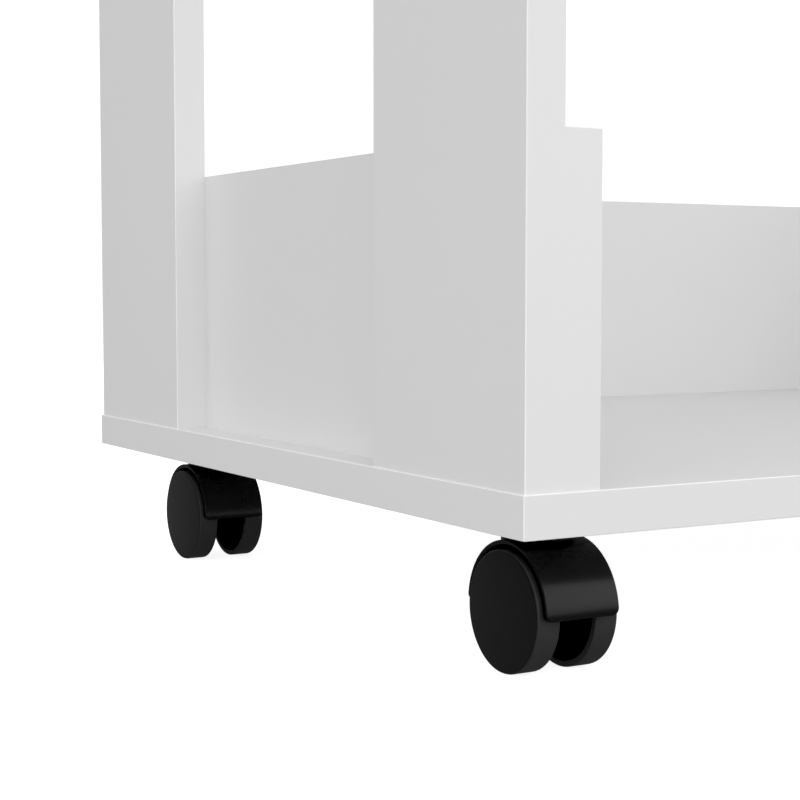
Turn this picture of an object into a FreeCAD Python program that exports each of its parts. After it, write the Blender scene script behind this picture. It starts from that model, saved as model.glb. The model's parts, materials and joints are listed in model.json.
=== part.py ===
"""Mobile board stand for a computer tower, on four hooded twin-wheel casters.

Millimetres, +Z up. The origin is on the floor under the middle of the stand, +X is the stand's
right-hand side and -Y its open front. Every board is cut from the same melamine-faced stock.
"""
import FreeCAD, Part
import os

V = FreeCAD.Vector

# ---- driving dimensions: the boards ------------------------------------------------------------
width = 550.0             # base and top panels, left to right
depth = 392.0             # base and top panels, front to back
board = 15.0              # thickness of the board stock
reveal = 1.0              # the posts stand this far inside the edges of the base and the top
post_length = 568.0       # clear height between the base and the top
post_width = 100.0
side_height = 118.0       # low side panels
back_height = 118.0       # low back panel
rail_height = 60.0        # rails under the top
edge_round = 0.4          # easing of the banded edges

# ---- driving dimensions: the casters -----------------------------------------------------------
caster_height = 52.9      # floor to the underside of the base
caster_inset_x = 35.0     # swivel axis from the side edge of the base
caster_inset_y = 52.5     # swivel axis from the front or rear edge of the base
trail = 12.5              # axle ahead of the swivel axis
wheel_radius = 21.8
wheel_width = 9.4
wheel_gap = 14.8          # between the inner faces of the two wheels
wheel_bevel = 0.8
wheel_rim = 2.2           # radial thickness of the tread ring
wheel_disc = 1.7          # thickness of the outer disc
wheel_hub_radius = 5.2
wheel_rib = 1.3
wheel_ribs = 6
wheel_rib_drop = 3.5      # inner face of the wheel down to the ribs
wheel_blind = 2.2         # material left between the axle bore and the outer face
hood_clearance = 1.1      # wheel tread to the inside of the hood
hood_wall = 2.0
hood_width = 30.4
hood_corner = 2.6         # rounding of the hood's four lower corners
hood_rim_round = 0.45
web_thickness = 12.4      # the wall between the wheels
axle_boss_radius = 6.0
axle_radius = 2.5
axle_bevel = 0.4
axle_end_gap = 0.6        # axle end to the bottom of the wheel's blind bore
groove_depth = 0.5        # snap groove near each end of the axle
groove_width = 1.6
groove_inset = 1.6        # groove to the end of the axle
running_fit = 0.08        # radial clearance of everything that turns on a pin
bead_gap = 0.15           # wheel's snap bead to the walls of the axle's groove
plate_size = 38.0
plate_thickness = 1.6
plate_corner = 3.0
plate_hole_pitch = 27.0
plate_hole_radius = 2.1
stem_radius = 4.0
stem_length = 26.0        # below the plate
stem_spigot_radius = 3.0  # riveted into the plate
stem_groove_depth = 0.8
stem_groove_width = 1.4
stem_groove_inset = 2.6   # groove to the lower end of the stem
stem_bevel = 0.8
clip_reach = 0.7          # the clip stands this far out of the stem
clip_slot = 3.0           # opening of the split clip
neck_radius = 7.7
neck_column = 6.3         # socket column between the wheels
washer_thickness = 0.8
washer_radius = 7.0
turn_gap = 0.35           # between faces that turn past each other

# ---- driving dimensions: the fasteners ---------------------------------------------------------
screw_head = 3.9          # countersunk head radius
screw_shank = 1.9
screw_point = 3.0         # length of the pointed tip
screw_tip = 0.2           # radius left at the very tip
screw_end_gap = 0.5       # screw's tip to the bottom of its hole
long_screw = 45.0         # board face to end grain
short_screw = 25.0        # board face to board face
plate_screw = 13.0
plate_screw_head = 3.4
plate_screw_dome = 2.0
plate_screw_shank = 1.6
thread_gap = 0.05         # screw to its pilot hole
recess_width = 1.1        # cross recess
recess_span = 4.2
recess_depth = 1.8
dowel_radius = 3.0
dowel_length = 30.0
dowel_in_face = 10.0      # length of a dowel that sits in the face of a board
dowel_end_gap = 0.5
dowel_bevel = 0.6
cam_radius = 7.5
cam_depth = 12.0
cam_drop = 24.0           # cam centre below the underside of the top
cam_bolt_radius = 3.0
cam_bolt_waist = 2.2      # radius between the collar and the head
cam_bolt_head = 3.8
cam_bolt_head_half = 1.5  # half the thickness of the head
cam_thread_radius = 2.5
cam_thread_length = 11.0
cam_gap = 0.25            # bolt to the cam and to its bore
cam_inset = 130.0         # cams of the side rails from the front and rear edges
back_cam_inset = 120.0    # cams of the back rail from its ends
post_screw_edge = 20.0    # screws in a post's foot from the edges of the post
side_screw_inset = 110.0  # base screws of a side panel from the front and rear edges
back_screw_inset = 120.0  # base screws of the back panel from the side edges
dowel_offset = 42.0       # dowels of the side and back panels from the middle of the panel
panel_screw_edge = 25.0   # screws in a low panel from its top and bottom edges
rail_screw_edge = 15.0    # screws in a rail from its top and bottom edges
top_dowel_edge = 25.0     # dowels in the head of a post from the edges of the post

past = 1.0                # a cutting shape runs this far past the face that it opens
weld = 0.5                # shapes that are fused run this far into each other

# ---- levels and planes that follow -------------------------------------------------------------
deck = caster_height + board
ceiling = deck + post_length
edge_x = width / 2
edge_y = depth / 2
post_out = edge_x - reveal          # outer face of the posts
post_in = post_out - board          # posts meet the side panels here
side_in = post_in - board           # inner face of the side panels
front = -edge_y + reveal            # front ends of the posts and side panels
rear = edge_y - reveal
back_front = rear - board           # front face of the back panel
SIDES = {"left": -1, "right": 1}
ENDS = {"front": -1, "rear": 1}


# ---- small shapes ------------------------------------------------------------------------------
def block(low, high):
    """Box between two corners given in any order."""
    corner = V(*[min(a, b) for a, b in zip(low, high)])
    size = [abs(a - b) for a, b in zip(low, high)]
    return Part.makeBox(size[0], size[1], size[2], corner)


def rod(point, direction, radius, length):
    return Part.makeCylinder(radius, length, V(*point), V(*direction))


def turned(profile):
    """Solid of revolution about Z from (radius, z) points."""
    wire = Part.makePolygon([V(r, 0, z) for r, z in profile + profile[:1]])
    return Part.Face(wire).revolve(V(0, 0, 0), V(0, 0, 1), 360)


def aimed(shape, point, direction):
    """Copy of a shape made along +Z, turned to a direction and moved to a point."""
    copy = shape.copy()
    copy.Placement = FreeCAD.Placement(V(*point), FreeCAD.Rotation(V(0, 0, 1), V(*direction)))
    return copy


def eased(shape, sharp):
    """Round every edge except those lying in the given planes, as (axis, value) pairs."""
    def lies_in(edge, axis, value):
        return all(abs(vertex.Point[axis] - value) < 1e-6 for vertex in edge.Vertexes)
    edges = [e for e in shape.Edges if not any(lies_in(e, a, v) for a, v in sharp)]
    return shape.makeFillet(edge_round, edges)


def save(name, solids):
    """Write one node; several identical pieces stay separate solids."""
    solids = solids if isinstance(solids, list) else [solids]
    shape = solids[0] if len(solids) == 1 else Part.makeCompound(solids)
    assert shape.isValid(), name
    shape.exportStep("parts/%s.step" % name)


# ---- fasteners: each is made head at the origin, pointing along +Z --------------------------------
def wood_screw(length):
    """Countersunk chipboard screw with a cross recess, its head's face at z = 0."""
    cone = screw_head - screw_shank
    body = turned([(0, 0), (screw_head, 0), (screw_shank, cone),
                   (screw_shank, length - screw_point), (screw_tip, length), (0, length)])
    return body.cut(cross_recess(0))


def cross_recess(top):
    half = recess_width / 2
    reach = recess_span / 2
    one = block((-reach, -half, top), (reach, half, top + recess_depth))
    return one.fuse(block((-half, -reach, top), (half, reach, top + recess_depth)))


def screw_bore(length):
    """Countersink, clearance and pilot hole for a wood screw."""
    cone = screw_head - screw_shank
    bore = screw_shank + thread_gap
    bottom = length + screw_end_gap
    return turned([(0, -past), (screw_head, -past), (screw_head, 0), (bore, cone - thread_gap),
                   (bore, bottom), (0, bottom)])


def pan_screw():
    """Domed screw for a caster plate, its head's seat at z = 0."""
    shank = turned([(0, 0), (plate_screw_shank, 0), (plate_screw_shank, plate_screw - screw_point),
                    (screw_tip, plate_screw), (0, plate_screw)])
    ball_radius = (plate_screw_head ** 2 + plate_screw_dome ** 2) / (2 * plate_screw_dome)
    ball = Part.makeSphere(ball_radius, V(0, 0, ball_radius - plate_screw_dome))
    head = ball.common(rod((0, 0, -plate_screw_dome), (0, 0, 1), plate_screw_head, plate_screw_dome))
    return head.fuse(shank).removeSplitter().cut(cross_recess(-plate_screw_dome))


def plate_screw_bore():
    bore = plate_screw_shank + thread_gap
    return rod((0, 0, 0), (0, 0, 1), bore, plate_screw + screw_end_gap)


def dowel():
    """Grooved beech dowel with bevelled ends; z = 0 is the joint between the two boards."""
    low = -dowel_in_face
    high = dowel_length - dowel_in_face
    end_radius = dowel_radius - dowel_bevel
    return turned([(0, low), (end_radius, low), (dowel_radius, low + dowel_bevel),
                   (dowel_radius, high - dowel_bevel), (end_radius, high), (0, high)])


def dowel_bore():
    length = dowel_length + 2 * dowel_end_gap
    return rod((0, 0, -dowel_in_face - dowel_end_gap), (0, 0, 1), dowel_radius, length)


def cam_bolt():
    """Connecting bolt: threaded into the top panel above z = 0, headed inside the cam below."""
    head_low = -cam_drop - cam_bolt_head_half
    head_high = -cam_drop + cam_bolt_head_half
    collar = -cam_drop + cam_radius + cam_gap
    return turned([(0, head_low), (cam_bolt_head, head_low), (cam_bolt_head, head_high),
                   (cam_bolt_waist, head_high), (cam_bolt_waist, collar), (cam_bolt_radius, collar),
                   (cam_bolt_radius, 0), (cam_thread_radius, 0),
                   (cam_thread_radius, cam_thread_length), (0, cam_thread_length)])


def cam_bolt_bore():
    """Bore in the rail's edge and pilot hole in the top panel."""
    down = cam_drop + cam_bolt_head_half + cam_gap
    edge = rod((0, 0, -down), (0, 0, 1), cam_bolt_head + cam_gap, down)
    pilot = rod((0, 0, -past), (0, 0, 1), cam_thread_radius, past + cam_thread_length + screw_end_gap)
    return edge.fuse(pilot)


def cam_lock():
    """Cam with its face at z = 0 and its body along +Z, slotted along +X for the bolt."""
    body = rod((0, 0, 0), (0, 0, 1), cam_radius, cam_depth)
    middle = board / 2
    chamber = cam_bolt_head + cam_gap
    mouth = cam_bolt_waist + cam_gap
    roof = cam_bolt_head_half + cam_gap
    body = body.cut(block((-chamber, -chamber, middle - chamber), (roof, chamber, middle + chamber)))
    body = body.cut(block((0, -mouth, middle - mouth), (cam_radius + past, mouth, middle + mouth)))
    return body.cut(cross_recess(0))


# ---- where the fasteners go ----------------------------------------------------------------------
def post_x(side):
    return side * (post_in + board / 2)


def side_x(side):
    return side * (side_in + board / 2)


def post_y(end):
    return end * (rear - post_width / 2)


def base_screw_places():
    """Up through the base into the posts, the side panels and the back panel."""
    places = []
    for side in SIDES.values():
        for end in ENDS.values():
            for step in (-1, 1):
                y = post_y(end) + step * (post_width / 2 - post_screw_edge)
                places.append((post_x(side), y, caster_height))
        for y in (-edge_y + side_screw_inset, 0, edge_y - side_screw_inset):
            places.append((side_x(side), y, caster_height))
    for x in (-edge_x + back_screw_inset, 0, edge_x - back_screw_inset):
        places.append((x, back_front + board / 2, caster_height))
    return [(place, (0, 0, 1)) for place in places]


def panel_screw_places():
    """From the bay through the low side panels into the posts."""
    levels = (deck + panel_screw_edge, deck + side_height - panel_screw_edge)
    return [((side * side_in, post_y(end), z), (side, 0, 0))
            for side in SIDES.values() for end in ENDS.values() for z in levels]


def rail_screw_places():
    """From the bay through the upper side rails into the posts."""
    levels = (ceiling - rail_screw_edge, ceiling - rail_height + rail_screw_edge)
    return [((side * side_in, post_y(end), z), (side, 0, 0))
            for side in SIDES.values() for end in ENDS.values() for z in levels]


def back_screw_places():
    """Through the side panels and side rails, behind the posts, into the back boards."""
    low = (deck + panel_screw_edge, deck + back_height - panel_screw_edge)
    high = (ceiling - rail_screw_edge, ceiling - rail_height + rail_screw_edge)
    return [((side * post_in, back_front + board / 2, z), (-side, 0, 0))
            for side in SIDES.values() for z in low + high]


def base_dowel_places():
    """Standing in the base, under the posts and the low panels."""
    places = [(post_x(side), post_y(end), deck)
              for side in SIDES.values() for end in ENDS.values()]
    places += [(side_x(side), step * dowel_offset, deck)
               for side in SIDES.values() for step in (-1, 1)]
    places += [(step * dowel_offset, back_front + board / 2, deck) for step in (-1, 1)]
    return [(place, (0, 0, 1)) for place in places]


def top_dowel_places():
    """Hanging in the top, in the heads of the posts."""
    return [((post_x(side), post_y(end) + step * (post_width / 2 - top_dowel_edge), ceiling), (0, 0, -1))
            for side in SIDES.values() for end in ENDS.values() for step in (-1, 1)]


def cam_bolt_places():
    """In the underside of the top, over the middle of each rail's edge."""
    places = [(side_x(side), end * (edge_y - cam_inset), ceiling)
              for side in SIDES.values() for end in ENDS.values()]
    places += [(step * (side_in - back_cam_inset), back_front + board / 2, ceiling) for step in (-1, 1)]
    return [(place, (0, 0, 1)) for place in places]


def cam_places():
    """In the faces of the rails that look into the bay, as (point, direction)."""
    z = ceiling - cam_drop
    places = [((side * side_in, end * (edge_y - cam_inset), z), (side, 0, 0))
              for side in SIDES.values() for end in ENDS.values()]
    places += [((step * (side_in - back_cam_inset), back_front, z), (0, 1, 0)) for step in (-1, 1)]
    return places


def cam_aimed(shape, point, direction):
    """Turn a cam so that its face looks into the bay and its slot opens upwards."""
    axis = V(*direction)
    turn = FreeCAD.Rotation(V(0, 0, 1), axis.cross(V(0, 0, 1)), axis, "XZY")
    copy = shape.copy()
    copy.Placement = FreeCAD.Placement(V(*point), turn)
    return copy


def caster_places():
    """Name, x and y of each swivel axis."""
    return [("%s_%s" % (end, side), SIDES[side] * (edge_x - caster_inset_x),
             ENDS[end] * (edge_y - caster_inset_y)) for end in ENDS for side in SIDES]


def plate_screw_places():
    """Up through the corners of the caster plates, heads against the plates."""
    half = plate_hole_pitch / 2
    z = caster_height - plate_thickness
    return [((x + dx, y + dy, z), (0, 0, 1)) for _, x, y in caster_places()
            for dx in (-half, half) for dy in (-half, half)]


def group(shape, places):
    return [aimed(shape, point, direction) for point, direction in places]


def all_bores():
    """Every hole that the boards are drilled with."""
    bores = group(screw_bore(long_screw), base_screw_places() + back_screw_places())
    bores += group(screw_bore(short_screw), panel_screw_places() + rail_screw_places())
    bores += group(dowel_bore(), base_dowel_places() + top_dowel_places())
    bores += group(cam_bolt_bore(), cam_bolt_places())
    bores += group(rod((0, 0, 0), (0, 0, 1), cam_radius, cam_depth), cam_places())
    bores += group(plate_screw_bore(), plate_screw_places())
    return bores


def drilled(shape, bores):
    """Cut the bores that reach into this board."""
    box = shape.BoundBox
    hits = [bore for bore in bores if box.intersect(bore.BoundBox)]
    return shape.cut(hits) if hits else shape


# ---- the boards ------------------------------------------------------------------------------------
def flat_panel(bottom):
    """Base or top panel."""
    return eased(block((-edge_x, -edge_y, bottom), (edge_x, edge_y, bottom + board)), [])


def post(side, end):
    """Flat corner post; its foot and head and the edges against the side boards stay sharp."""
    low = (side * post_in, end * rear, deck)
    high = (side * post_out, end * (rear - post_width), ceiling)
    return eased(block(low, high), [(0, side * post_in), (2, deck), (2, ceiling)])


def side_board(side, bottom, top):
    """Low side panel or upper side rail, flush with the posts' front and rear edges."""
    shape = block((side * side_in, front, bottom), (side * post_in, rear, top))
    return eased(shape, [(0, side * post_in), (2, deck), (2, ceiling)])


def back_board(bottom, top):
    """Low back panel or upper back rail, between the side boards."""
    shape = block((-side_in, back_front, bottom), (side_in, rear, top))
    return eased(shape, [(0, -side_in), (0, side_in), (2, deck), (2, ceiling)])


# ---- one caster, made with its swivel axis on Z and the underside of the base at z = 0 ------------------
hood_inner = wheel_radius + hood_clearance
hood_outer = hood_inner + hood_wall
axle_level = wheel_radius - caster_height
plate_under = -plate_thickness
neck_top = plate_under - washer_thickness - turn_gap
wheel_face = wheel_gap / 2 + wheel_width
axle_half = wheel_face - wheel_blind - axle_end_gap
stem_groove_top = plate_under - stem_length + stem_groove_inset + stem_groove_width
AXLE = V(0, -trail, axle_level)


def caster_plate():
    """Pressed steel plate with rounded corners and four screw holes."""
    half = plate_size / 2
    shape = block((-half, -half, plate_under), (half, half, 0))
    uprights = [e for e in shape.Edges if e.BoundBox.ZLength > plate_thickness / 2]
    shape = shape.makeFillet(plate_corner, uprights)
    shape = shape.cut(rod((0, 0, plate_under), (0, 0, 1), stem_spigot_radius, plate_thickness))
    pitch = plate_hole_pitch / 2
    for dx in (-pitch, pitch):
        for dy in (-pitch, pitch):
            shape = shape.cut(rod((dx, dy, plate_under), (0, 0, 1), plate_hole_radius, plate_thickness))
    return shape


def caster_stem():
    """Steel king pin, riveted through the plate, with a groove for its clip."""
    tip = plate_under - stem_length
    groove = stem_radius - stem_groove_depth
    low = stem_groove_top - stem_groove_width
    return turned([(0, 0), (stem_spigot_radius, 0), (stem_spigot_radius, plate_under),
                   (stem_radius, plate_under), (stem_radius, stem_groove_top), (groove, stem_groove_top),
                   (groove, low), (stem_radius, low), (stem_radius, tip + stem_bevel),
                   (stem_radius - stem_bevel, tip), (0, tip)])


def stem_clip():
    """Split spring clip in the king pin's groove; it holds the hood up when the stand is lifted."""
    low = stem_groove_top - stem_groove_width
    ring = rod((0, 0, low), (0, 0, 1), stem_radius + clip_reach, stem_groove_width)
    ring = ring.cut(rod((0, 0, low), (0, 0, 1), stem_radius - stem_groove_depth, stem_groove_width))
    slot = block((-clip_slot / 2, 0, low), (clip_slot / 2, 2 * stem_radius, low + stem_groove_width))
    return ring.cut(slot)


def swivel_washer():
    """Plastic washer under the plate, round the king pin."""
    ring = rod((0, 0, plate_under - washer_thickness), (0, 0, 1), washer_radius, washer_thickness)
    return ring.cut(rod((0, 0, plate_under - washer_thickness), (0, 0, 1), stem_radius, washer_thickness))


def half_ring(outer, inner, thickness):
    """Upper half of a ring round the axle, centred on the caster's middle plane."""
    x, y, z = -thickness / 2, AXLE.y, AXLE.z
    over = Part.Arc(V(x, y - outer, z), V(x, y, z + outer), V(x, y + outer, z)).toShape()
    under = Part.Arc(V(x, y - inner, z), V(x, y, z + inner), V(x, y + inner, z)).toShape()
    front_edge = Part.makeLine(V(x, y - outer, z), V(x, y - inner, z))
    rear_edge = Part.makeLine(V(x, y + inner, z), V(x, y + outer, z))
    return Part.Face(Part.Wire([over, rear_edge, under, front_edge])).extrude(V(thickness, 0, 0))


def hood_shell():
    """Half-round shell over both wheels, with rounded lower corners and eased rims."""
    shell = half_ring(hood_outer, hood_inner, hood_width)
    corners = [e for e in shell.Edges if e.Length < hood_wall * 1.01]
    shell = shell.makeFillet(hood_corner, corners)
    outer_arcs = [e for e in shell.Edges if e.BoundBox.ZMax > AXLE.z + hood_outer - 0.01
                  and e.BoundBox.XLength < 0.01]
    return shell.makeFillet(hood_rim_round, outer_arcs)


def across(radius, length):
    """Cylinder along the axle's line, centred on the caster's middle plane."""
    return rod((-length / 2, AXLE.y, AXLE.z), (1, 0, 0), radius, length)


def caster_hood():
    """Moulded hood: a half-round shell with a web, a socket for the king pin and an axle boss."""
    half = hood_outer + trail
    above = block((-half, AXLE.y - half, AXLE.z), (half, AXLE.y + half, AXLE.z + half))
    web = across(hood_inner + hood_wall / 2, web_thickness).common(above)
    boss = across(axle_boss_radius, web_thickness)
    bottom = plate_under - stem_length - turn_gap - hood_wall
    column = rod((0, 0, bottom), (0, 0, 1), neck_column, AXLE.z + hood_inner / 2 - bottom)
    neck = rod((0, 0, AXLE.z + hood_inner / 2), (0, 0, 1), neck_radius, neck_top - AXLE.z - hood_inner / 2)
    neck = neck.cut(across(hood_outer - hood_wall / 2, hood_width))
    body = hood_shell().fuse([web, boss, column, neck]).removeSplitter()
    return body.cut([socket_bore(), across(axle_radius, hood_width)])


def socket_bore():
    """Hole for the king pin, with an undercut for its clip."""
    radius = stem_radius + running_fit
    top = neck_top + past
    bottom = plate_under - stem_length - turn_gap
    bore = rod((0, 0, bottom), (0, 0, 1), radius, top - bottom)
    low = stem_groove_top - stem_groove_width - turn_gap
    undercut = rod((0, 0, low), (0, 0, 1), stem_radius + clip_reach + turn_gap,
                   stem_groove_width + 2 * turn_gap)
    return bore.fuse(undercut)


def groove_span():
    """Near and far ends of an axle groove, measured along the axle from its middle."""
    far = axle_half - groove_inset
    return far - groove_width, far


def axle():
    """Steel pin, pressed through the hood's web, with a snap groove near each end."""
    near, far = groove_span()
    waist = axle_radius - groove_depth
    half = [(axle_radius, near), (waist, near), (waist, far), (axle_radius, far),
            (axle_radius, axle_half - axle_bevel), (axle_radius - axle_bevel, axle_half)]
    mirrored = [(r, -x) for r, x in reversed(half)]
    pin = turned([(0, -axle_half)] + mirrored + half + [(0, axle_half)])
    return aimed(pin, AXLE, (1, 0, 0))


def wheel(side):
    """Moulded wheel: closed outer disc, tread ring, hub and ribs, snapped onto the axle."""
    inner = wheel_gap / 2
    disc = wheel_face - wheel_disc
    bore = axle_radius + running_fit
    ring = wheel_radius - wheel_rim
    near, far = groove_span()
    bead = axle_radius - groove_depth + running_fit
    bore_end = wheel_face - wheel_blind
    body = turned([(0, bore_end), (bore, bore_end), (bore, far - bead_gap), (bead, far - bead_gap),
                   (bead, near + bead_gap), (bore, near + bead_gap), (bore, inner),
                   (wheel_hub_radius, inner), (wheel_hub_radius, disc), (ring, disc), (ring, inner),
                   (wheel_radius - wheel_bevel / 2, inner), (wheel_radius, inner + wheel_bevel / 2),
                   (wheel_radius, wheel_face - wheel_bevel), (wheel_radius - wheel_bevel, wheel_face),
                   (0, wheel_face)])
    rib = block((wheel_hub_radius - weld, -wheel_rib / 2, inner + wheel_rib_drop),
                (ring + weld, wheel_rib / 2, disc + weld))
    ribs = []
    for step in range(wheel_ribs):
        one = rib.copy()
        one.rotate(V(0, 0, 0), V(0, 0, 1), 360 * step / wheel_ribs)
        ribs.append(one)
    return aimed(body.fuse(ribs).removeSplitter(), AXLE, (side, 0, 0))


# ---- write every node ------------------------------------------------------------------------------
def write_boards(bores):
    save("base_panel", drilled(flat_panel(caster_height), bores))
    save("top_panel", drilled(flat_panel(ceiling), bores))
    save("back_panel", drilled(back_board(deck, deck + back_height), bores))
    save("upper_back_rail", drilled(back_board(ceiling - rail_height, ceiling), bores))
    for side_name, side in SIDES.items():
        save("%s_side_panel" % side_name, drilled(side_board(side, deck, deck + side_height), bores))
        rail = side_board(side, ceiling - rail_height, ceiling)
        save("upper_%s_rail" % side_name, drilled(rail, bores))
        for end_name, end in ENDS.items():
            save("%s_%s_post" % (end_name, side_name), drilled(post(side, end), bores))


def write_fasteners():
    save("base_screws", group(wood_screw(long_screw), base_screw_places()))
    save("side_panel_screws", group(wood_screw(short_screw), panel_screw_places()))
    save("rail_screws", group(wood_screw(short_screw), rail_screw_places()))
    save("back_board_screws", group(wood_screw(long_screw), back_screw_places()))
    save("base_dowels", group(dowel(), base_dowel_places()))
    save("top_dowels", group(dowel(), top_dowel_places()))
    save("cam_bolts", group(cam_bolt(), cam_bolt_places()))
    save("cam_locks", [cam_aimed(cam_lock(), point, direction) for point, direction in cam_places()])
    save("caster_screws", group(pan_screw(), plate_screw_places()))


def write_casters():
    pieces = {"caster_plate": caster_plate(), "caster_stem": caster_stem(), "caster_hood": caster_hood(),
              "caster_axle": axle(), "left_wheel": wheel(-1), "right_wheel": wheel(1)}
    clips = []
    washers = []
    for name, x, y in caster_places():
        move = V(x, y, caster_height)
        for piece, shape in pieces.items():
            save("%s_%s" % (name, piece), shape.translated(move))
        clips.append(stem_clip().translated(move))
        washers.append(swivel_washer().translated(move))
    save("stem_clips", clips)
    save("swivel_washers", washers)


os.makedirs("parts", exist_ok=True)
write_boards(all_bores())
write_fasteners()
write_casters()
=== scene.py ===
import json
import math

import bmesh
import bpy
from mathutils import Matrix, Vector


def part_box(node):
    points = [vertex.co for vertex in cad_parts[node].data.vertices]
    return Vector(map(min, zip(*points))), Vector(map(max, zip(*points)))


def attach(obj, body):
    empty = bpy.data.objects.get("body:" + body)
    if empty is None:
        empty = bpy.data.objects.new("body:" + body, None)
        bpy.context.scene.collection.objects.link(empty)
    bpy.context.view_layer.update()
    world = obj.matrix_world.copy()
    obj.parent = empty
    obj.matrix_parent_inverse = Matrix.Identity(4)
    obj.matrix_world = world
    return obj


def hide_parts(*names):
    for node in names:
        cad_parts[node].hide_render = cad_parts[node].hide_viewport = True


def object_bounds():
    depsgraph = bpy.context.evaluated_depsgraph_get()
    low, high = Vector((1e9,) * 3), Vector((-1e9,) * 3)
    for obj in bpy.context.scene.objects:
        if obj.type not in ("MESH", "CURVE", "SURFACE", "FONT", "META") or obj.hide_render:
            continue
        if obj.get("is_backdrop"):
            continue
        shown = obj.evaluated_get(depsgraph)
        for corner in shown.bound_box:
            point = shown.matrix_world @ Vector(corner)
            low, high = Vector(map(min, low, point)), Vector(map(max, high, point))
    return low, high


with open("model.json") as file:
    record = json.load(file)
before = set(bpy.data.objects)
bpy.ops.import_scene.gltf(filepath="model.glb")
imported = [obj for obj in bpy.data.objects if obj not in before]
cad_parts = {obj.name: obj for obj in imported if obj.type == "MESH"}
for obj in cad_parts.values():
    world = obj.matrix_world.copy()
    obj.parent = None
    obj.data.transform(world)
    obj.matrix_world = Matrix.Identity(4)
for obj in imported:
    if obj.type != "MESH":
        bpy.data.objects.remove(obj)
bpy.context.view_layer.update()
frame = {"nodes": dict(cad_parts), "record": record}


# ---- The boards ----------------------------------------------------------------------------------
# Twelve boards of white melamine-faced particle board, sawn square. A thin white plastic band is
# glued on every edge, cut flush and rounded to a tiny radius, so a hairline of glue shows just inside the
# edge. The faces keep the fine satin grain of the press plate; the bands are a little smoother. The
# rounded edges carry a painted highlight: their colour is a lighter white than the faces.

class Wire:
    """A value on its way through a node tree, so that node maths reads as arithmetic."""

    def __init__(self, graph, socket):
        self.graph = graph
        self.socket = socket

    def maths(self, operation, *values, clamp=False):
        settings = {"operation": operation, "use_clamp": clamp}
        return self.graph.add("ShaderNodeMath", settings, dict(enumerate(values)))

    def __add__(self, other):
        return self.maths("ADD", self, other)

    def __sub__(self, other):
        return self.maths("SUBTRACT", self, other)

    def __rsub__(self, other):
        return self.maths("SUBTRACT", other, self)

    def __mul__(self, other):
        return self.maths("MULTIPLY", self, other)

    def __truediv__(self, other):
        return self.maths("DIVIDE", self, other)

    def __abs__(self):
        return self.maths("ABSOLUTE", self)

    def __pow__(self, other):
        return self.maths("POWER", self, other)

    def least(self, other):
        return self.maths("MINIMUM", self, other)

    def most(self, other):
        return self.maths("MAXIMUM", self, other)

    def clipped(self):
        return self.maths("ADD", self, 0.0, clamp=True)

    __radd__ = __add__
    __rmul__ = __mul__


class Graph:
    """A node tree being written. Every node that isn't arithmetic comes from add()."""

    def __init__(self, tree):
        self.tree = tree

    def feed(self, socket, value):
        if isinstance(value, (list, tuple)) and value and isinstance(value[0], Wire):
            for wire in value:
                self.tree.links.new(wire.socket, socket)
        elif isinstance(value, Wire):
            self.tree.links.new(value.socket, socket)
        else:
            socket.default_value = value

    def add(self, kind, settings=None, inputs=None, output=0):
        node = self.tree.nodes.new(kind)
        for name, value in (settings or {}).items():
            setattr(node, name, value)
        for key, value in (inputs or {}).items():
            self.feed(node.inputs[key], value)
        return Wire(self, node.outputs[output]) if node.outputs else None


class Finish(Graph):
    """A material and its principled shader."""

    def __init__(self, name, **constants):
        self.material = bpy.data.materials.new(name)
        self.material.use_nodes = True
        super().__init__(self.material.node_tree)
        self.shader = self.tree.nodes["Principled BSDF"]
        self.surface(**constants)

    def surface(self, **values):
        for key, value in values.items():
            self.feed(self.shader.inputs[key.replace("_", " ")], value)

    def place(self, stretch=None):
        """Place on the object in metres, stretched along its three directions if asked."""
        place = self.add("ShaderNodeTexCoord", output="Object")
        if stretch is None:
            return place
        return self.add("ShaderNodeVectorMath", {"operation": "MULTIPLY"}, {0: place, 1: stretch})

    def along(self, place):
        """The place's three coordinates."""
        split = self.add("ShaderNodeSeparateXYZ", None, {0: place}).socket.node
        return [Wire(self, output) for output in split.outputs]

    def noise(self, place, scale, detail=2.0, roughness=0.5):
        inputs = {"Vector": place, "Scale": scale, "Detail": detail, "Roughness": roughness}
        return self.add("ShaderNodeTexNoise", None, inputs, "Fac")

    def blend(self, share, first, second):
        """Colour between two others."""
        node = self.add("ShaderNodeMix", {"data_type": "RGBA"}, {0: share}).socket.node
        self.feed(node.inputs[6], first)
        self.feed(node.inputs[7], second)
        return Wire(self, node.outputs[2])

    def relief(self, height, depth, strength=1.0):
        inputs = {"Height": height, "Distance": depth, "Strength": strength}
        self.surface(Normal=self.add("ShaderNodeBump", None, inputs, "Normal"))


def grey(value):
    return (value, value, value, 1.0)


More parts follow.
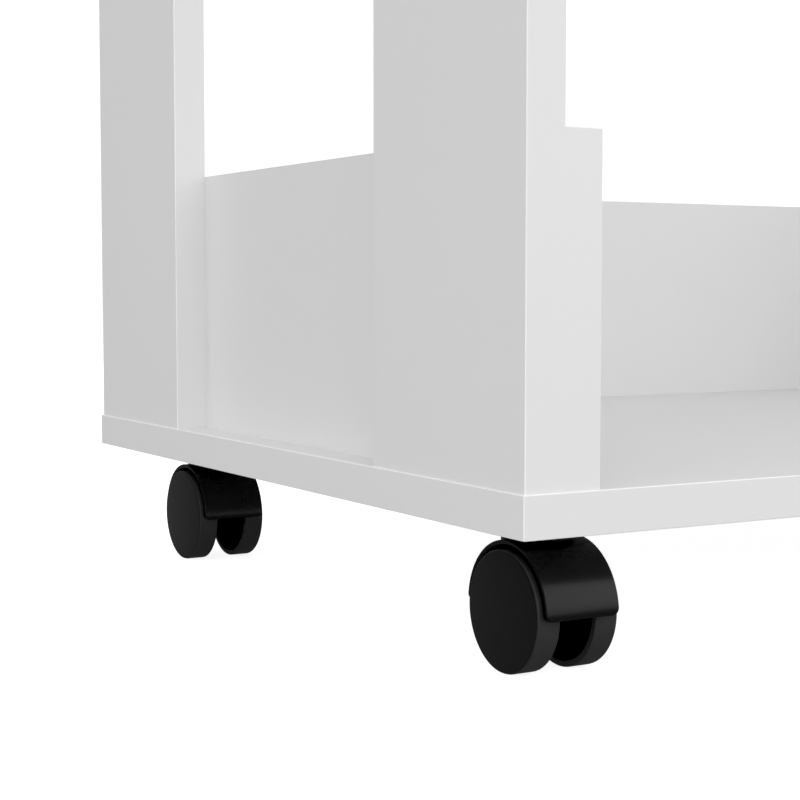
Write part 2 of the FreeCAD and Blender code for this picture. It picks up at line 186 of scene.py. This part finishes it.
def melamine(name, low, high):
    """White board between two corners, banded on its four narrow faces, with a painted highlight on its
    rounded edges.
    """
    band = 0.00045
    seam_width = 0.00007
    skin = 0.00003
    edge_turn = 60.0
    satin = 0.37
    finish = Finish(name, Specular_IOR_Level=0.34)
    place = finish.place()
    half = (high - low) / 2
    middle = (high + low) / 2
    inset = [half[i] - abs(p - middle[i]) for i, p in enumerate(finish.along(place))]
    through = min(range(3), key=lambda i: half[i])
    to_face = inset.pop(through)
    to_edge = inset[0].least(inset[1])
    on_face = 1 - (to_face / skin).clipped()
    seam = on_face * (1 - (abs(to_edge - band) / seam_width).clipped())
    on_band = 1 - (to_edge / band).clipped() ** 8
    grain = finish.noise(place, 1500.0, 3.0, 0.6)
    peel = finish.noise(place, 260.0, 2.0)
    cloud = finish.noise(place, 9.0, 3.0)
    tone = 0.985 + 0.02 * cloud + 0.01 * grain
    facing = finish.add("ShaderNodeNewGeometry", output="True Normal")
    x, y, z = (abs(part) for part in finish.along(facing))
    # Rounded edge faces, found by their slanted normals: smoother, and given a painted highlight.
    fillet_and_painted_highlight = ((1 - x.most(y).most(z)) * edge_turn).clipped()
    white = finish.blend(on_band, grey(0.800), grey(0.812))
    # Painted highlight: the rounded edges' colour is raised to a lighter white (0.93).
    white = finish.blend(fillet_and_painted_highlight, white, grey(0.93))
    toned = finish.add("ShaderNodeVectorMath", {"operation": "SCALE"}, {0: white, "Scale": tone})
    glued = finish.blend(seam * 0.28, toned, (0.52, 0.50, 0.46, 1.0))
    rough = satin + 0.08 * (grain - 0.5) - 0.07 * on_band - 0.08 * fillet_and_painted_highlight
    finish.surface(Base_Color=glued, Roughness=rough)
    finish.relief(grain * 0.5 + peel * 0.5 - seam * 0.7, 0.00002, 0.6)
    return finish.material


def nodes_in(slot):
    """CAD pieces that take their finish from a slot."""
    return [part["node"] for part in frame["record"]["subparts"] if part["material_slot"] == slot]


def dress(node, material):
    """Give a CAD piece its finish."""
    for slot in frame["nodes"][node].material_slots:
        slot.material = material


for board in nodes_in("white_melamine"):
    dress(board, melamine("%s_melamine" % board, *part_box(board)))


# ---- Dowels --------------------------------------------------------------------------------------
# Fluted beech dowels with bevelled ends, glued half into the boards' faces and half into the ends of
# the boards that stand on them. The flutes let the glue escape.

class Tree(Graph):
    """A geometry tree whose inputs are a geometry, named sizes and a finish."""

    def __init__(self, name, *sizes):
        super().__init__(bpy.data.node_groups.new(name, "GeometryNodeTree"))
        interface = self.tree.interface
        interface.new_socket("Geometry", in_out="INPUT", socket_type="NodeSocketGeometry")
        for size in sizes:
            interface.new_socket(size, in_out="INPUT", socket_type="NodeSocketFloat")
        interface.new_socket("Finish", in_out="INPUT", socket_type="NodeSocketMaterial")
        interface.new_socket("Geometry", in_out="OUTPUT", socket_type="NodeSocketGeometry")
        entry = self.add("NodeGroupInput").socket.node
        self.given = {output.name: Wire(self, output) for output in entry.outputs if output.name}

    def close(self, geometry):
        """End in real geometry that carries its finish."""
        real = self.add("GeometryNodeRealizeInstances", None, {0: geometry})
        inputs = {"Geometry": real, "Material": self.given["Finish"]}
        self.add("NodeGroupOutput", None, {0: self.add("GeometryNodeSetMaterial", None, inputs)})

    def grow(self, name, seed, **values):
        """Plain mesh object that the tree makes from a seed mesh. Sizes it doesn't ask for are left out."""
        carrier = bpy.data.objects.new(name, seed)
        bpy.context.scene.collection.objects.link(carrier)
        modifier = carrier.modifiers.new(name, "NODES")
        modifier.node_group = self.tree
        for socket in self.tree.interface.items_tree:
            if socket.in_out == "INPUT" and socket.name in values:
                modifier[socket.identifier] = values[socket.name]
        evaluated = carrier.evaluated_get(bpy.context.evaluated_depsgraph_get())
        mesh = bpy.data.meshes.new_from_object(evaluated)
        bpy.data.objects.remove(carrier)
        return stood(name, mesh)

    def set_on_points(self, shape):
        """Copies of a shape made along +Z, on the given points, turned to their aim."""
        aim = self.add("GeometryNodeInputNamedAttribute", {"data_type": "FLOAT_VECTOR"}, {"Name": "aim"})
        turn = self.add("FunctionNodeAlignRotationToVector", {"axis": "Z"}, {"Vector": aim})
        inputs = {"Points": self.given["Geometry"], "Instance": shape, "Rotation": turn}
        return self.add("GeometryNodeInstanceOnPoints", None, inputs)

    def at(self, x, y, z):
        return self.add("ShaderNodeCombineXYZ", None, {0: x, 1: y, 2: z})

    def lifted(self, geometry, height):
        inputs = {"Geometry": geometry, "Translation": self.at(0.0, 0.0, height)}
        return self.add("GeometryNodeTransform", None, inputs)

    def joined(self, *shapes):
        return self.add("GeometryNodeJoinGeometry", None, {0: list(shapes)})


def smooth(mesh, angle=32.0):
    """Smooth shading, kept sharp where faces meet at more than an angle."""
    mesh.polygons.foreach_set("use_smooth", [True] * len(mesh.polygons))
    mesh.set_sharp_from_angle(angle=math.radians(angle))


def stood(name, mesh):
    """Object in the scene for a finished mesh."""
    smooth(mesh)
    piece = bpy.data.objects.new(name, mesh)
    bpy.context.scene.collection.objects.link(piece)
    return piece


def merged(node):
    """Copy of a CAD piece's mesh, its loose triangles joined up."""
    work = bmesh.new()
    work.from_mesh(frame["nodes"][node].data)
    bmesh.ops.remove_doubles(work, verts=work.verts, dist=1e-6)
    return work


def solids_of(node):
    """Corners of each separate solid in a CAD piece."""
    work = merged(node)
    left = set(work.verts)
    found = []
    while left:
        reached = [left.pop()]
        for vertex in reached:
            near = {edge.other_vert(vertex) for edge in vertex.link_edges} & left
            left -= near
            reached += near
        low = Vector([min(v.co[i] for v in reached) for i in range(3)])
        high = Vector([max(v.co[i] for v in reached) for i in range(3)])
        found.append((low, high))
    work.free()
    return sorted(found, key=lambda corners: tuple(round(c, 4) for c in corners[0]))


def aimed_points(name, starts, aim_of):
    """Seed mesh of points, each with the direction that its copy points in."""
    seed = bpy.data.meshes.new(name)
    seed.from_pydata([tuple(start) for start in starts], [], [])
    aim = seed.attributes.new("aim", "FLOAT_VECTOR", "POINT")
    aim.data.foreach_set("vector", [part for start in starts for part in aim_of(start)])
    return seed


def stands_for(piece, node, body):
    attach(piece, body)
    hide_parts(node)


def dowel_tree():
    rings = 25
    flutes = 14
    narrowed = 0.8
    tree = Tree("fluted_dowel", "Radius", "Length", "Bevel", "Flute")
    radius, length, bevel = (tree.given[name] for name in ("Radius", "Length", "Bevel"))
    line = tree.add("GeometryNodeCurvePrimitiveLine", None, {"End": tree.at(0.0, 0.0, length)})
    line = tree.add("GeometryNodeResampleCurve", None, {"Curve": line, "Count": rings})
    along = tree.add("GeometryNodeSplineParameter", output="Length")
    to_end = (along.least(length - along) / bevel).clipped()
    inputs = {"Curve": line, "Radius": narrowed + (1 - narrowed) * to_end}
    line = tree.add("GeometryNodeSetCurveRadius", None, inputs)
    inputs = {"Points": flutes, "Outer Radius": radius, "Inner Radius": radius - tree.given["Flute"]}
    star = tree.add("GeometryNodeCurveStar", None, inputs, "Curve")
    thickness = tree.add("GeometryNodeInputRadius")
    inputs = {"Curve": line, "Profile Curve": star, "Scale": thickness, "Fill Caps": True}
    tree.close(tree.set_on_points(tree.add("GeometryNodeCurveToMesh", None, inputs)))
    return tree


def beech():
    """Pale steamed beech: straight grain along the dowel, with its short brown flecks."""
    finish = Finish("beech", Specular_IOR_Level=0.3)
    grain = finish.noise(finish.place((420.0, 420.0, 30.0)), 1.0, 4.0, 0.6)
    fleck = finish.noise(finish.place((2600.0, 2600.0, 500.0)), 1.0, 1.0)
    flecks = ((fleck - 0.62) * 9.0).clipped()
    wood = finish.blend(grain, (0.50, 0.32, 0.17, 1.0), (0.69, 0.50, 0.31, 1.0))
    finish.surface(Base_Color=finish.blend(flecks * 0.7, wood, (0.33, 0.18, 0.09, 1.0)),
                   Roughness=0.58 + 0.16 * grain)
    finish.relief(grain + flecks * -0.5, 0.00004, 0.7)
    return finish.material


beech_wood = beech()
fluted_dowel = dowel_tree()
for group in nodes_in("beech"):
    dowels = solids_of(group)
    feet = [Vector(((low.x + high.x) / 2, (low.y + high.y) / 2, low.z)) for low, high in dowels]
    across, _, tall = dowels[0][1] - dowels[0][0]
    seed = aimed_points(group, feet, lambda foot: (0, 0, 1))
    fluted = fluted_dowel.grow("%s_fluted" % group, seed, Radius=across / 2, Length=tall,
                               Bevel=0.0012, Flute=0.00022, Finish=beech_wood)
    stands_for(fluted, group, "stand")


# ---- Wood screws ---------------------------------------------------------------------------------
# Zinc-plated chipboard screws, countersunk flush with a cross recess: up through the base, from the
# bay through the low panels and the rails into the posts, and behind the posts into the back boards.

CORE_SHARE = 0.72


def shank_parts(tree, shank, length, start):
    """Core, point and thread of a screw from a height up to its tip."""
    core = CORE_SHARE * shank
    tip = 0.003
    sharp = 0.0001
    sides = 14
    run = length - start - tip
    stem = tree.add("GeometryNodeMeshCylinder", None,
                    {"Vertices": sides, "Radius": core, "Depth": run}, "Mesh")
    point = tree.add("GeometryNodeMeshCone", None,
                     {"Vertices": sides, "Radius Bottom": core, "Radius Top": sharp, "Depth": tip}, "Mesh")
    spiral = tree.add("GeometryNodeCurveSpiral", None,
                      {"Resolution": sides, "Rotations": run / tree.given["Pitch"], "Start Radius": core,
                       "End Radius": core, "Height": run})
    ridge = tree.add("GeometryNodeCurvePrimitiveCircle", None,
                     {"Resolution": 3, "Radius": shank - core}, "Curve")
    thread = tree.add("GeometryNodeCurveToMesh", None,
                      {"Curve": spiral, "Profile Curve": ridge, "Fill Caps": True})
    return [tree.lifted(stem, start + 0.5 * run), tree.lifted(point, length - tip),
            tree.lifted(thread, start)]


def cross_cut(tree, head, mouth, depth):
    """Head with a cross recess sunk from its mouth."""
    span = tree.given["Recess"]
    arm = 0.26 * span
    bars = []
    for x, y in ((span, arm), (arm, span)):
        bar = tree.add("GeometryNodeMeshCube", None, {"Size": tree.at(x, y, 2 * depth)}, "Mesh")
        bars.append(tree.lifted(bar, mouth))
    inputs = {"Mesh 1": head, "Mesh 2": bars}
    return tree.add("GeometryNodeMeshBoolean", {"operation": "DIFFERENCE"}, inputs, "Mesh")


def wood_screw_tree():
    tree = Tree("wood_screw", "Head", "Shank", "Length", "Pitch", "Recess")
    head, shank, length = (tree.given[name] for name in ("Head", "Shank", "Length"))
    cone = head - shank
    inputs = {"Vertices": 28, "Radius Bottom": head, "Radius Top": CORE_SHARE * shank, "Depth": cone}
    cut = cross_cut(tree, tree.add("GeometryNodeMeshCone", None, inputs, "Mesh"), 0.0, 0.8 * cone)
    tree.close(tree.set_on_points(tree.joined(cut, *shank_parts(tree, shank, length, 0.9 * cone))))
    return tree


def zinc_plate():
    """Bright zinc plate: blue-grey, softly blotched, finely brushed by tumbling."""
    finish = Finish("zinc_plate", Metallic=1.0)
    blotch = finish.noise(finish.place(), 240.0, 3.0)
    fine = finish.noise(finish.place(), 2600.0, 2.0)
    colour = finish.blend(blotch, (0.50, 0.52, 0.55, 1.0), (0.66, 0.66, 0.65, 1.0))
    finish.surface(Base_Color=colour, Roughness=0.24 + 0.16 * fine)
    finish.relief(fine, 0.00001, 0.4)
    return finish.material


def drive(tree, node, axis, seat_of, pitch):
    """Replace a group of CAD screws. seat_of(low, high) is where a head's seat is on the axis."""
    screws = solids_of(node)
    aims = {}
    for low, high in screws:
        seat = (low + high) / 2
        seat[axis] = seat_of(low[axis], high[axis])
        aim = Vector((0, 0, 0))
        aim[axis] = math.copysign(1, ((low + high) / 2 - seat)[axis])
        aims[tuple(seat)] = aim
    low, high = screws[0]
    size = high - low
    head = size[(axis + 1) % 3] / 2
    first_seat = next(iter(aims))[axis]
    length = max(abs(low[axis] - first_seat), abs(high[axis] - first_seat))
    seed = aimed_points(node, list(aims), aims.get)
    piece = tree.grow("%s_zinc" % node, seed, Head=head, Dome=size[axis] - length, Shank=0.5 * head,
                      Length=length, Pitch=pitch, Recess=1.1 * head, Finish=zinc)
    stands_for(piece, node, "stand")


def nearest_middle(low, high):
    return low if abs(low) < abs(high) else high


def furthest_out(low, high):
    return low if abs(low) > abs(high) else high


X, Z = 0, 2
zinc = zinc_plate()
wood_screw = wood_screw_tree()
coarse = 0.0024
drive(wood_screw, "base_screws", Z, min, coarse)
drive(wood_screw, "side_panel_screws", X, nearest_middle, coarse)
drive(wood_screw, "rail_screws", X, nearest_middle, coarse)
drive(wood_screw, "back_board_screws", X, furthest_out, coarse)


# ---- Cam fittings --------------------------------------------------------------------------------
# Zinc-plated bolts screwed into the underside of the top, drawn down by die-cast zinc cams that
# turn in the faces of the rails. The castings are duller and slightly pitted.

def die_cast():
    finish = Finish("die_cast_zinc", Metallic=1.0)
    skin = finish.noise(finish.place(), 700.0, 4.0, 0.65)
    pits = ((finish.noise(finish.place(), 3200.0, 1.0) - 0.6) * 6.0).clipped()
    finish.surface(Base_Color=finish.blend(skin, (0.34, 0.34, 0.35, 1.0), (0.52, 0.52, 0.53, 1.0)),
                   Roughness=0.42 + 0.2 * skin)
    finish.relief(skin - pits, 0.00004, 0.7)
    return finish.material


dress("cam_bolts", zinc)
dress("cam_locks", die_cast())


# ---- Caster plates, pins and clips ---------------------------------------------------------------
# Each caster hangs from a pressed, zinc-plated plate with a riveted steel king pin. A nylon washer
# keeps the hood off the plate, and a split spring clip in the pin's groove holds the hood up.

def drawn_steel(name, stretch):
    """Bright pin with fine marks round it from the lathe."""
    finish = Finish(name, Metallic=1.0)
    marks = finish.noise(finish.place(stretch), 1.0, 2.0)
    oil = finish.noise(finish.place(), 190.0, 2.0)
    finish.surface(Base_Color=finish.blend(oil, (0.47, 0.47, 0.48, 1.0), (0.62, 0.62, 0.62, 1.0)),
                   Roughness=0.16 + 0.18 * marks)
    finish.relief(marks, 0.000006, 0.5)
    return finish.material


def blued_spring():
    finish = Finish("blued_spring", Metallic=1.0)
    tint = finish.noise(finish.place(), 380.0, 2.0)
    finish.surface(Base_Color=finish.blend(tint, (0.13, 0.14, 0.18, 1.0), (0.26, 0.25, 0.25, 1.0)),
                   Roughness=0.3 + 0.15 * tint)
    return finish.material


def natural_nylon():
    finish = Finish("natural_nylon", Subsurface_Weight=0.3, Specular_IOR_Level=0.4)
    cloud = finish.noise(finish.place(), 320.0, 2.0)
    finish.surface(Base_Color=finish.blend(cloud, (0.66, 0.65, 0.60, 1.0), (0.78, 0.77, 0.73, 1.0)),
                   Roughness=0.4 + 0.15 * cloud)
    finish.relief(cloud, 0.00002, 0.5)
    return finish.material


CORNERS = ["front_left", "front_right", "rear_left", "rear_right"]
pin_steel = drawn_steel("pin_steel", (60.0, 60.0, 5000.0))
axle_steel = drawn_steel("axle_steel", (5000.0, 60.0, 60.0))
for corner in CORNERS:
    dress("%s_caster_plate" % corner, zinc)
    dress("%s_caster_stem" % corner, pin_steel)
    dress("%s_caster_axle" % corner, axle_steel)
dress("stem_clips", blued_spring())
dress("swivel_washers", natural_nylon())


# ---- Plate screws --------------------------------------------------------------------------------
# Four short zinc-plated screws hold each plate up against the base. Their domed heads have the same
# cross recess, and their thread is finer.

def pan_screw_tree():
    tree = Tree("pan_screw", "Head", "Dome", "Shank", "Length", "Pitch", "Recess")
    head, dome, shank = (tree.given[name] for name in ("Head", "Dome", "Shank"))
    ball = 0.5 * (head * head + dome * dome) / dome
    sides = 32
    inputs = {"Segments": sides, "Rings": sides, "Radius": ball}
    sphere = tree.lifted(tree.add("GeometryNodeMeshUVSphere", None, inputs, "Mesh"), ball - dome)
    inputs = {"Vertices": sides, "Radius": 1.2 * head, "Depth": 1.5 * dome}
    drum = tree.lifted(tree.add("GeometryNodeMeshCylinder", None, inputs, "Mesh"), -0.75 * dome)
    cap = tree.add("GeometryNodeMeshBoolean", {"operation": "INTERSECT"}, {"Mesh 2": [sphere, drum]}, "Mesh")
    cut = cross_cut(tree, cap, -1 * dome, 0.75 * dome)
    shanks = shank_parts(tree, shank, tree.given["Length"], -0.1 * dome)
    tree.close(tree.set_on_points(tree.joined(cut, *shanks)))
    return tree


plate_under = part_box("front_left_caster_plate")[0].z
fine = 0.0014
drive(pan_screw_tree(), "caster_screws", Z, lambda low, high: plate_under, fine)


# ---- Hoods ---------------------------------------------------------------------------------------
# One black nylon moulding for each caster: a half-round shell over both wheels, with a wall
# between them, a boss for the axle and a socket for the king pin. It comes glossy from the mould.

def black_nylon():
    finish = Finish("black_nylon", Specular_IOR_Level=0.5)
    place = finish.place()
    flow = finish.noise(finish.place((30.0, 90.0, 90.0)), 1.0, 2.0)
    peel = finish.noise(place, 420.0, 2.0)
    haze = finish.noise(place, 70.0, 2.0)
    finish.surface(Base_Color=finish.blend(haze, grey(0.0008), grey(0.0024)),
                   Roughness=0.22 + 0.05 * flow + 0.05 * haze)
    finish.relief(peel, 0.00001, 0.5)
    return finish.material


hood_nylon = black_nylon()
for corner in CORNERS:
    node = "%s_caster_hood" % corner
    shell = merged(node)
    mesh = bpy.data.meshes.new(node)
    shell.to_mesh(mesh)
    shell.free()
    mesh.materials.append(hood_nylon)
    hood = stood("%s_moulding" % node, mesh)
    stands_for(hood, node, "%s_caster" % corner)


# ---- Wheels --------------------------------------------------------------------------------------
# Twin wheels, each moulded in one piece: a closed outer disc with a rounded shoulder, a tread ring,
# a hub and six low ribs. The discs stay glossy; rolling dulls the treads and streaks them.

TREAD_WALL = 0.0022
DISC_THICKNESS = 0.0017
HUB_RADIUS = 0.0052


def quarter(radius, along, size, start):
    """Rounded corner of a profile: points from one angle through a right angle, clockwise."""
    steps = 5
    angles = [math.radians(start - 90 * i / steps) for i in range(steps + 1)]
    return [(radius + size * math.cos(a), along + size * math.sin(a)) for a in angles]


def turned(profile, segments):
    """Closed mesh of a (radius, along) profile spun round +Z, its poles merged."""
    work = bmesh.new()
    ring = [work.verts.new((radius, 0, along)) for radius, along in profile]
    edges = [work.edges.new(pair) for pair in zip(ring, ring[1:])]
    bmesh.ops.spin(work, geom=ring + edges, cent=(0, 0, 0), axis=(0, 0, 1),
                   angle=math.tau, steps=segments, use_merge=True)
    bmesh.ops.remove_doubles(work, verts=work.verts, dist=1e-6)
    bmesh.ops.recalc_face_normals(work, faces=work.faces)
    return work


def wheel_body(radius, width):
    """Wheel with its inner face at z = 0 and its closed disc at z = width."""
    shoulder = 0.0009
    inner_edge = 0.0004
    disc = width - DISC_THICKNESS
    ring = radius - TREAD_WALL
    draft = 0.0003
    bore = 0.00258
    bore_end = width - 0.0022
    segments = 96
    profile = [(0, width)]
    profile += quarter(radius - shoulder, width - shoulder, shoulder, 90)
    profile += quarter(radius - inner_edge, inner_edge, inner_edge, 0)
    profile += [(ring, 0), (ring - draft, disc - draft), (ring - 2 * draft, disc)]
    profile += [(HUB_RADIUS + 2 * draft, disc), (HUB_RADIUS + draft, disc - draft), (HUB_RADIUS, 0)]
    profile += [(bore, 0), (bore, bore_end), (0, bore_end)]
    work = turned(profile, segments)
    mesh = bpy.data.meshes.new("wheel_body")
    work.to_mesh(mesh)
    work.free()
    return mesh


def ribbed_wheel_tree():
    tree = Tree("ribbed_wheel", "Inner", "Outer", "Low", "High", "Thickness", "Ribs")
    inner, outer, low, high = (tree.given[name] for name in ("Inner", "Outer", "Low", "High"))
    ring = tree.add("GeometryNodeMeshCircle", None,
                    {"Vertices": tree.given["Ribs"], "Radius": 0.5 * (inner + outer)})
    out = tree.add("GeometryNodeInputPosition")
    turn = tree.add("FunctionNodeAlignRotationToVector", {"axis": "X"}, {"Vector": out})
    size = tree.at(outer - inner, tree.given["Thickness"], high - low)
    rib = tree.add("GeometryNodeMeshCube", None, {"Size": size}, "Mesh")
    ribs = tree.add("GeometryNodeInstanceOnPoints", None, {"Points": ring, "Instance": rib, "Rotation": turn})
    tree.close(tree.joined(tree.given["Geometry"], tree.lifted(ribs, 0.5 * (low + high))))
    return tree


def wheel_nylon(name, centre, radius, outside):
    """Glossy black disc, dusty tread streaked by rolling, and a hollow painted darker as shade, but for its
    ring wall, painted lighter as if lit.
    """
    finish = Finish(name, Specular_IOR_Level=0.5)
    place = finish.place()
    x, y, z = finish.along(place)
    out_y, out_z = y - centre.y, z - centre.z
    from_axle = (out_y * out_y + out_z * out_z) ** 0.5
    shoulder = radius - 0.0006
    ring = radius - 0.0036
    shell = 0.0012
    outward_fade = 0.0004
    inward_fade = 0.0006
    tread = ((from_axle - shoulder) / outward_fade).clipped()
    inside = ((abs(x - outside) - shell) / inward_fade).clipped() * (1 - tread)
    # Painted light: the ring wall inside the hollow is painted lighter, as if lit.
    painted_ring_light = ((from_axle - ring) / outward_fade).clipped()
    streak = finish.noise(finish.place((3200.0, 60.0, 60.0)), 1.0, 3.0, 0.6)
    dust = finish.noise(place, 240.0, 4.0, 0.65)
    peel = finish.noise(place, 420.0, 2.0)
    black = finish.blend(tread * (0.55 + 0.45 * dust), grey(0.0045), grey(0.040))
    # Painted shade: the rest of the hollow is painted a darker black than the disc; painted light on its ring
    # wall.
    painted_hollow_shade_and_ring_light = finish.blend(painted_ring_light, grey(0.003), grey(0.034))
    finish.surface(Base_Color=finish.blend(inside, black, painted_hollow_shade_and_ring_light),
                   Roughness=0.3 + 0.04 * dust + tread * (0.1 + 0.14 * streak) + 0.2 * inside)
    finish.relief(peel * (1 - tread) + tread * (streak + dust), 0.000012, 0.5)
    return finish.material


ribbed_wheel = ribbed_wheel_tree()
rib_drop = 0.0035
rooted = 0.0002
hub_rooted = 0.0003
for corner in CORNERS:
    for side in ("left", "right"):
        body = "%s_%s_wheel" % (corner, side)
        low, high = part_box(body)
        centre = (low + high) / 2
        radius = (high.z - low.z) / 2
        width = high.x - low.x
        outward = -1 if side == "left" else 1
        inside_x = centre.x - outward * width / 2
        nylon = wheel_nylon("%s_nylon" % body, centre, radius, inside_x + outward * width)
        wheel = ribbed_wheel.grow("%s_moulding" % body, wheel_body(radius, width),
                                  Inner=HUB_RADIUS - hub_rooted, Outer=radius - TREAD_WALL + rooted,
                                  Low=rib_drop, High=width - DISC_THICKNESS + rooted,
                                  Thickness=0.0013, Ribs=6, Finish=nylon)
        turn = Vector((0, 0, 1)).rotation_difference(Vector((outward, 0, 0))).to_matrix().to_4x4()
        wheel.data.transform(Matrix.Translation((inside_x, centre.y, centre.z)) @ turn)
        stands_for(wheel, body, body)


# ---- Studio --------------------------------------------------------------------------------------
# A plain pale floor, clear from below, under a broad soft sky that is brightest in front of the
# stand. Mirrored light comes from a panel to its right. The camera is low, off the front left corner.

def studio_floor():
    floor = bpy.data.meshes.new("floor")
    reach = 8.0
    corners = [(-reach, -reach, 0), (reach, -reach, 0), (reach, reach, 0), (-reach, reach, 0)]
    floor.from_pydata(corners, [], [(0, 1, 2, 3)])
    slab = bpy.data.objects.new("floor", floor)
    bpy.context.scene.collection.objects.link(slab)
    glow = 0.12
    lift = 0.74
    finish = Finish("floor", Roughness=0.9, Specular_IOR_Level=0.0, Emission_Color=grey(1.0))
    mirrored = finish.add("ShaderNodeLightPath", output="Is Glossy Ray")
    seen = finish.add("ShaderNodeLightPath", output="Is Camera Ray")
    bounced = finish.blend(mirrored, grey(0.37), grey(0.08))
    finish.surface(Base_Color=finish.blend(seen, bounced, grey(0.70)), Emission_Strength=glow + seen * lift)
    below = finish.add("ShaderNodeNewGeometry", output="Backfacing")
    clear = finish.add("ShaderNodeBsdfTransparent")
    paper = Wire(finish, finish.shader.outputs[0])
    mix = finish.add("ShaderNodeMixShader", None, {0: below, 1: paper, 2: clear})
    finish.feed(finish.tree.nodes["Material Output"].inputs["Surface"], mix)
    floor.materials.append(finish.material)
    slab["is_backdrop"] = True


def soft_sky():
    world = bpy.data.worlds.new("sky")
    bpy.context.scene.world = world
    world.use_nodes = True
    graph = Graph(world.node_tree)
    key = (-0.35, -0.94, 0.0)
    panel = (0.90, -0.40, 0.0)
    behind = -0.4
    backdrop = 1.1
    way = graph.add("ShaderNodeTexCoord", output="Generated")
    facing, beside = (graph.add("ShaderNodeVectorMath", {"operation": "DOT_PRODUCT"},
                                {0: way, 1: towards}, "Value") for towards in (key, panel))
    seen = graph.add("ShaderNodeLightPath", output="Is Camera Ray")
    mirrored = graph.add("ShaderNodeLightPath", output="Is Glossy Ray")
    matt = 0.93 + 0.74 * facing.most(behind)
    gloss = 0.62 + 0.60 * beside
    power = (1 - seen) * (matt + mirrored * (gloss - matt)) + seen * backdrop
    background = world.node_tree.nodes["Background"]
    graph.feed(background.inputs["Color"], grey(1.0))
    graph.feed(background.inputs["Strength"], power)


def stand_camera():
    """Camera a short way off the front left corner of the base, looking slightly down."""
    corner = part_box("base_panel")[0]
    away = Vector((-0.2999, -0.4420, 0.0817))
    down = 3.875
    to_right = 29.905
    camera = bpy.data.cameras.new("camera")
    camera.sensor_width = 36.0
    camera.lens = 75.48
    camera.clip_start = 0.01
    camera.clip_end = 50.0
    holder = bpy.data.objects.new("camera", camera)
    holder.location = corner + away
    holder.rotation_euler = (math.radians(90 - down), 0.0, math.radians(-to_right))
    bpy.context.scene.collection.objects.link(holder)
    bpy.context.scene.camera = holder


studio_floor()
soft_sky()
stand_camera()
view = bpy.context.scene.view_settings
view.view_transform = "Standard"
view.use_curve_mapping = True
view.curve_mapping.black_level = (0.0055, 0.0055, 0.0055)
view.curve_mapping.update()

low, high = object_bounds()
